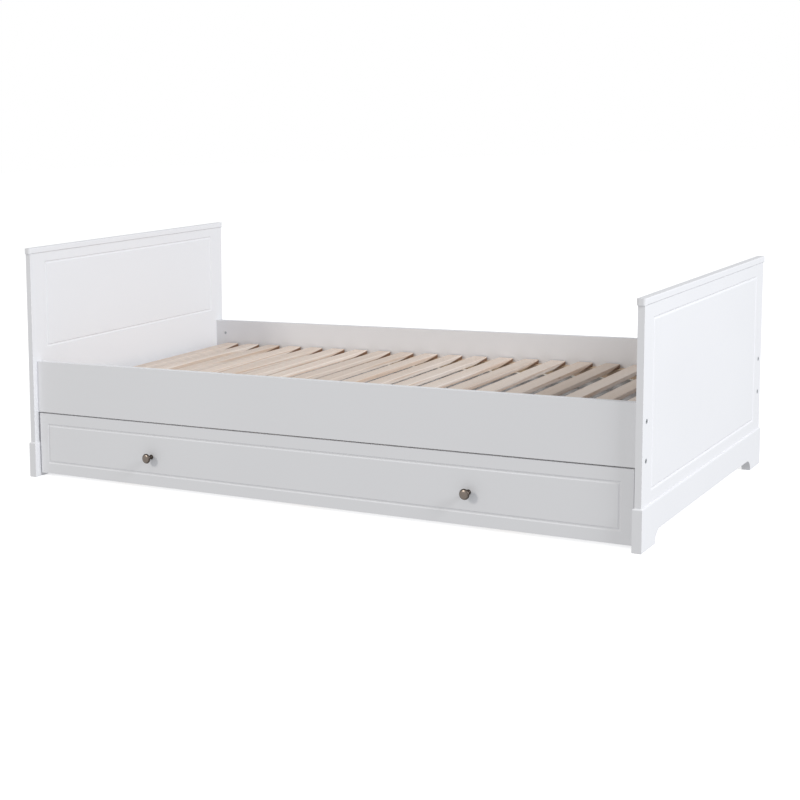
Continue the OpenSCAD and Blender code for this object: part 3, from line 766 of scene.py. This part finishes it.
class BED_OT_straps(Operator):
    """Woven straps under the slats, held by a staple in every slat"""
    bl_idname = "bed.straps"
    bl_label = "Straps and staples"

    def execute(self, context):
        slats = [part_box(name) for name in SLATS]
        bands = [(Vector(group.min(0)), Vector(group.max(0))) for group in islands("slat_straps")]
        stand_for(self.straps(bands, slats), body_of("slat_straps"), "slat_straps")
        self.staples(bands, slats)
        return {"FINISHED"}

    def straps(self, bands, slats):
        """Thin bands that touch each slat and sag between two."""
        xs = []
        for i, (a, b) in enumerate(slats):
            xs += [(a.x + (b.x - a.x) * k / 4, 0) for k in range(5)]
            if i + 1 < len(slats):
                gap = slats[i + 1][0].x - b.x
                xs += [(b.x + gap * k / 6, math.sin(math.pi * k / 6)) for k in range(1, 6)]
        bm = bmesh.new()
        for low, high in bands:
            rows = [[bm.verts.new((x, y, high.z - 0.05 * MM - sag * sizes().strap_sag)) for x, sag in xs]
                    for y in np.linspace(high.y, low.y, 5)]
            for upper, lower in zip(rows, rows[1:]):
                for i in range(len(xs) - 1):
                    bm.faces.new((upper[i], lower[i], lower[i + 1], upper[i + 1]))
        piece = link("slat_straps_finished", mesh_of(bm, "slat_straps", True), woven_webbing)
        wall = piece.modifiers.new("thickness", "SOLIDIFY")
        wall.thickness = (bands[0][1].z - bands[0][0].z) * 0.85
        wall.offset = -1
        edge = piece.modifiers.new("edges", "BEVEL")
        edge.width = 0.3 * MM
        edge.segments = 2
        edge.limit_method = "ANGLE"
        return settle(piece)

    def staples(self, bands, slats):
        """Wire staples across the straps, one under the middle of each slat."""
        wire, crown = sizes().staple_wire, sizes().staple_crown
        mesh = bpy.data.meshes.new("staples")
        mesh.from_pydata([((a.x + b.x) / 2, (low.y + high.y) / 2, low.z - wire * 0.2)
                          for low, high in bands for a, b in slats], [], [])
        tree, source, named = growing_tree("staples", {
            "Crown": "Float", "Leg": "Float", "Wire": "Float", "Turn": "Float", "Seed": "Int"})
        out = source.outputs
        half = maths(tree, "MULTIPLY", out["Crown"], 0.5)
        back = maths(tree, "MULTIPLY", half, -1.0)
        corners = [node(tree, "ShaderNodeCombineXYZ", {1: y, 2: z}) for y, z in
                   ((back, out["Leg"]), (back, 0.0), (half, 0.0), (half, out["Leg"]))]
        legs = [node(tree, "GeometryNodeCurvePrimitiveLine", {"Start": a, "End": b})
                for a, b in zip(corners, corners[1:])]
        joined = node(tree, "GeometryNodeJoinGeometry")
        for leg in legs:
            tree.links.new(leg.outputs[0], joined.inputs[0])
        ring = node(tree, "GeometryNodeCurvePrimitiveCircle", {"Resolution": 8, "Radius": out["Wire"]})
        wires = node(tree, "GeometryNodeCurveToMesh", {
            "Curve": joined, "Profile Curve": ring, "Fill Caps": True})
        most = node(tree, "FunctionNodeRandomValue", {
            "Min": maths(tree, "MULTIPLY", out["Turn"], -1.0), "Max": out["Turn"], "Seed": out["Seed"]},
            data_type="FLOAT")
        turn = node(tree, "FunctionNodeAxisAngleToRotation", {"Axis": (0, 0, 1), "Angle": most.outputs[1]})
        placed = node(tree, "GeometryNodeInstanceOnPoints", {
            "Points": out["Geometry"], "Instance": wires, "Rotation": turn})
        end_tree(tree, placed, zinc_plated_steel)
        piece = grow("strap_staples", mesh, tree, named, {
            "Crown": crown, "Leg": 6 * MM, "Wire": wire / 2, "Turn": 0.12, "Seed": 5}, zinc_plated_steel)
        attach(piece, body_of("slat_straps"))


class BED_OT_fastenings(Operator):
    """Socket bolts, cross-head screws, barrel nuts and dowels of the bed and the trundle"""
    bl_idname = "bed.fastenings"
    bl_label = "Fastenings"

    def execute(self, context):
        for name in ("ledge_screws", "trundle_screws"):
            fasten(name, screw(name, False), zinc_plated_steel)
        for name in ("castor_screws", "knob_screws"):
            fasten(name, screw(name, True), zinc_plated_steel)
        fasten("bed_bolts", self.socket_bolt(), zinc_plated_steel)
        rounded("barrel_nuts", zinc_plated_steel, 0.3 * MM, 2)
        rounded("dowels", turned_beech, 0.6 * MM, 2)
        return {"FINISHED"}

    def socket_bolt(self):
        """A flat-headed bolt with a hexagon socket, its face at the origin and its shank downwards."""
        head_d, _, size = fastener_points("bed_bolts")[2:]
        r, s, head = head_d / 2, fastener_shank("bed_bolts"), 4 * MM
        profile = [(0, 0)] + arc(r - 1 * MM, -1 * MM, 1 * MM, 90, 0, 5) + [(r, -head + 0.3 * MM),
                                                                      (r - 0.3 * MM, -head), (s, -head)]
        pitch, plain = 1.5 * MM, 20 * MM
        profile.append((s, -plain))
        for i in range(int((size - 30 * MM) / pitch)):
            z = -plain - i * pitch
            profile += [(s * 0.86, z - pitch / 2), (s, z - pitch)]
        profile += [(s, -size + 1 * MM), (s * 0.75, -size), (0, -size)]
        piece = link("bolt", lathe(profile, 32), None)
        bm = bmesh.new()
        bmesh.ops.create_cone(bm, cap_ends=True, segments=6, radius1=2.3 * MM, radius2=2.5 * MM, depth=6 * MM)
        return cut(piece, link("socket", mesh_of(bm, "socket"), None))


def fastener_shank(name):
    """Radius of the thin end of a CAD fastener."""
    group = islands(name)[0]
    low, high = group.min(0), group.max(0)
    axis = int(np.argmax(high - low))
    radius = np.linalg.norm(np.delete(group - (low + high) / 2, axis, 1), axis=1)
    end = group[:, axis]
    inner = end > high[axis] - MM if abs(high[axis]) < abs(low[axis]) else end < low[axis] + MM
    return float(radius[inner].max())


class BED_OT_trundle(Operator):
    """The trundle's grooved front, its box, floor panels and bearers"""
    bl_idname = "bed.trundle"
    bl_label = "Trundle"

    def execute(self, context):
        rounded("trundle_front", sprayed_white_lacquer, sizes().board_round)
        for part in ("inner_front", "back", "side_left", "side_right"):
            rounded("trundle_" + part, sprayed_white_lacquer, sizes().board_round)
        for side in ("left", "right"):
            rounded("trundle_floor_" + side, faced_hardboard, sizes().groove_round)
        for place in ("left", "middle", "right"):
            rounded("trundle_bearer_" + place, sawn_bearer_pine, sizes().groove_round)
        return {"FINISHED"}


class BED_OT_knobs(Operator):
    """Turned knobs: a flared foot, a waisted stem and a domed head with a rolled rim"""
    bl_idname = "bed.knobs"
    bl_label = "Knobs"

    def execute(self, context):
        for side in ("left", "right"):
            name = "knob_" + side
            low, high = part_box(name)
            mesh = lathe(self.profile((high.x - low.x) / 2, high.y - low.y), 96)
            self.mark_rub_and_painted_light(mesh, (high.x - low.x) / 2)
            centre = (low + high) / 2
            turn = Matrix.Rotation(math.pi / 2, 4, "X")
            mesh.transform(Matrix.Translation((centre.x, high.y, centre.z)) @ turn)
            stand_for(link(name + "_finished", mesh, antique_pewter), body_of(name), name)
        return {"FINISHED"}

    def profile(self, r, out):
        """Radius and height points from the foot's middle round to the crown."""
        rim, foot, stem = 0.9 * MM, r * 0.5, r * 0.26
        back = out - 7.5 * MM
        points = [(0, 0), (foot, 0)] + arc(foot - 0.8 * MM, 0.8 * MM, 0.8 * MM, 0, 90, 4)
        for k in range(1, 9):
            t = k / 8
            points.append((stem + (foot - 2 * MM - stem) * (1 - t) ** 2, 2 * MM + (out * 0.45 - 2 * MM) * t))
        for k in range(1, 9):
            t = k / 8
            points.append((stem + (r - rim - stem) * t ** 1.5, out * 0.45 + (back - out * 0.45) * t ** 3))
        points += arc(r - rim, back + rim, rim, -90, 70, 8)
        shoulder_r, shoulder_z = points[-1]
        for k in range(1, 17):
            a = math.pi / 2 * k / 16
            points.append((shoulder_r * math.cos(a), shoulder_z + (out - shoulder_z) * math.sin(a)))
        points[-1] = (0, out)
        return points

    def mark_rub_and_painted_light(self, mesh, r):
        """Stores how bright each point is: rubbed on the crown with a painted highlight in its middle,
        painted shade round the rim, and dark behind it.
        """
        top = max(v.co.z for v in mesh.vertices)
        worn = mesh.attributes.new("worn", "FLOAT", "POINT")
        for v, value in zip(mesh.vertices, worn.data):
            out = math.hypot(v.co.x, v.co.y) / r
            crown = v.co.z > top - 7 * MM
            # Painted highlight in the middle of the crown, fading to painted shade at the rim
            value.value = max(0.0, min(0.85, (1.02 - out) * 2.4)) if crown else 0.12


class BED_OT_castors(Operator):
    """Castors: pressed forks, riveted axles and ribbed wheels"""
    bl_idname = "bed.castors"
    bl_label = "Castors"

    def execute(self, context):
        for place in CASTORS:
            rounded("castor_fork_" + place, zinc_plated_steel, sizes().groove_round, 2)
            self.wheel("castor_wheel_" + place)
        rounded("castor_axles", zinc_plated_steel, 0.4 * MM, 3)
        return {"FINISHED"}

    def wheel(self, name):
        """A dished wheel with ribs between its hub and its tread."""
        low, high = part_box(name)
        centre, r, w = (low + high) / 2, (high.z - low.z) / 2, high.x - low.x
        bore = min(math.hypot(v.co.y - centre.y, v.co.z - centre.z)
                   for v in frame["nodes"][name].data.vertices)
        h, dish, hub, tread = w / 2, 2.5 * MM, bore + 4 * MM, r - 5 * MM
        side = [(bore, 0)] + arc(bore + 0.5 * MM, h - 0.5 * MM, 0.5 * MM, 180, 90, 3)
        side += arc(hub - 0.5 * MM, h - 0.5 * MM, 0.5 * MM, 90, 0, 3)
        side += [(hub, h - dish), (tread, h - dish)]
        side += arc(tread + 0.5 * MM, h - 0.5 * MM, 0.5 * MM, 180, 90, 3)
        side += arc(r - 2 * MM, h - 2 * MM, 2 * MM, 90, 0, 5)
        profile = side + [(x, -z) for x, z in reversed(side[1:])] + [side[0]]
        mesh = lathe(profile, 64)
        tree, source, named = growing_tree(name, {
            "Ribs": "Int", "Middle": "Float", "Length": "Float", "Height": "Float", "Rib": "Float"})
        out = source.outputs
        ring = node(tree, "GeometryNodeMeshCircle", {"Vertices": out["Ribs"], "Radius": out["Middle"]})
        spoke = node(tree, "GeometryNodeMeshCube", {"Size": node(tree, "ShaderNodeCombineXYZ", {
            0: out["Length"], 1: out["Rib"], 2: out["Height"]})})
        step = maths(tree, "DIVIDE", math.tau, out["Ribs"])
        angle = maths(tree, "MULTIPLY", step, node(tree, "GeometryNodeInputIndex"))
        turn = node(tree, "FunctionNodeAxisAngleToRotation", {"Axis": (0, 0, 1), "Angle": angle})
        spokes = node(tree, "GeometryNodeInstanceOnPoints", {
            "Points": ring, "Instance": spoke, "Rotation": turn})
        both = node(tree, "GeometryNodeJoinGeometry")
        tree.links.new(out["Geometry"], both.inputs[0])
        tree.links.new(spokes.outputs[0], both.inputs[0])
        end_tree(tree, both, moulded_nylon)
        piece = grow(name + "_finished", mesh, tree, named, {
            "Ribs": sizes().wheel_ribs, "Middle": (hub + tread) / 2, "Length": tread - hub + MM,
            "Height": w - 2 * MM, "Rib": sizes().wheel_rib}, moulded_nylon)
        piece.data.transform(Matrix.Translation(centre) @ Matrix.Rotation(math.pi / 2, 4, "Y"))
        stand_for(piece, body_of(name), name)


class BED_OT_stage(Operator):
    """Pale floor, soft light and the camera"""
    bl_idname = "bed.stage"
    bl_label = "Studio"

    def execute(self, context):
        stage = context.scene.bed_stage
        half = 30
        corners = [(-half, -half, 0), (half, -half, 0), (half, half, 0), (-half, half, 0)]
        mesh = bpy.data.meshes.new("floor")
        mesh.from_pydata(corners, [], [(0, 1, 2, 3)])
        floor = link("studio_floor", mesh, pale_floor)
        floor.visible_diffuse = floor.visible_glossy = False
        self.sky(context, stage.fill)
        self.soft_box("key", (10, -2, 6), (0, 0, 0.4), 4, stage.key, (0.98, 1, 1.02))
        self.soft_box("side", (11, -0.5, 3), (0, 0, 0.4), 4, stage.side, (1, 1, 1))
        self.soft_box("front", (-3.6, -8, 4.6), (0, 0, 0.2), 1.6, stage.front, (1.05, 1.01, 0.93))
        self.camera(context, stage)
        context.scene.view_settings.view_transform = "Standard"
        return {"FINISHED"}

    def sky(self, context, strength):
        """Even light from all round, with a white backdrop behind the object."""
        world = bpy.data.worlds.new("studio")
        context.scene.world = world
        world.use_nodes = True
        tree = world.node_tree
        tree.nodes.clear()
        fill = node(tree, "ShaderNodeBackground", {"Color": (0.97, 0.985, 1, 1), "Strength": strength})
        white = node(tree, "ShaderNodeBackground", {"Color": (1, 1, 1, 1), "Strength": 1.0})
        seen = node(tree, "ShaderNodeLightPath").outputs["Is Camera Ray"]
        both = node(tree, "ShaderNodeMixShader", {0: seen, 1: fill, 2: white})
        node(tree, "ShaderNodeOutputWorld", {"Surface": both})

    def soft_box(self, name, place, aim, size, power, tint):
        lamp = bpy.data.lights.new(name, "AREA")
        lamp.color = tint
        lamp.energy = power
        lamp.shape = "DISK"
        lamp.size = size
        light = bpy.data.objects.new(name, lamp)
        bpy.context.scene.collection.objects.link(light)
        light.location = place
        light.rotation_euler = (Vector(aim) - Vector(place)).to_track_quat("-Z", "Y").to_euler()

    def camera(self, context, stage):
        """A camera with a shifted lens, so that upright lines stay nearly parallel."""
        data = bpy.data.cameras.new("camera")
        data.sensor_width = 36
        data.lens = stage.lens
        data.shift_x, data.shift_y = stage.shift_x, stage.shift_y
        data.clip_end = 200
        camera = bpy.data.objects.new("camera", data)
        context.scene.collection.objects.link(camera)
        sy, cy = math.sin(stage.yaw), math.cos(stage.yaw)
        sp, cp = math.sin(stage.pitch), math.cos(stage.pitch)
        ahead = Vector((-sy * cp, cy * cp, -sp))
        right = Vector((cy, sy, 0))
        up = right.cross(ahead)
        cr, sr = math.cos(stage.roll), math.sin(stage.roll)
        across, upward = right * cr + up * sr, up * cr - right * sr
        square = Matrix((across, upward, -ahead)).transposed().to_4x4()
        leaning = Matrix((across, upward - across * stage.skew, -ahead)).transposed().to_4x4()
        square.translation = leaning.translation = Vector((2.2313, -3.7036, 1.0820))
        # The mount holds only the lean of the upright lines; the lens's shift is the camera's own
        mount = bpy.data.objects.new("camera_mount", None)
        context.scene.collection.objects.link(mount)
        camera.parent = mount
        camera.matrix_basis = square
        camera.matrix_parent_inverse = leaning @ square.inverted()
        context.scene.camera = camera


class BED_PT_panel(Panel):
    """Lists the bed's pieces and settings"""
    bl_idname = "BED_PT_panel"
    bl_label = "Trundle Bed"
    bl_space_type = "VIEW_3D"
    bl_region_type = "UI"
    bl_category = "Trundle Bed"

    def draw(self, context):
        for operator in OPERATORS:
            self.layout.operator(operator.bl_idname)
        for group in (context.scene.bed_sizes, context.scene.bed_colours, context.scene.bed_stage):
            box = self.layout.box()
            for name in group.__annotations__:
                box.prop(group, name)


GROUPS = {"bed_sizes": BedSizes, "bed_colours": BedColours, "bed_stage": BedStage}
OPERATORS = (BED_OT_boards, BED_OT_rails, BED_OT_slats, BED_OT_straps, BED_OT_fastenings,
             BED_OT_trundle, BED_OT_knobs, BED_OT_castors, BED_OT_stage)


def register():
    for cls in (*GROUPS.values(), *OPERATORS, BED_PT_panel):
        bpy.utils.register_class(cls)
    for name, group in GROUPS.items():
        setattr(bpy.types.Scene, name, PointerProperty(type=group))


def unregister():
    for name in GROUPS:
        delattr(bpy.types.Scene, name)
    for cls in reversed((*GROUPS.values(), *OPERATORS, BED_PT_panel)):
        bpy.utils.unregister_class(cls)


def main():
    """Makes every piece."""
    register()
    for operator in OPERATORS:
        family, name = operator.bl_idname.split(".")
        getattr(getattr(bpy.ops, family), name)()


if __name__ == "__main__":
    main()
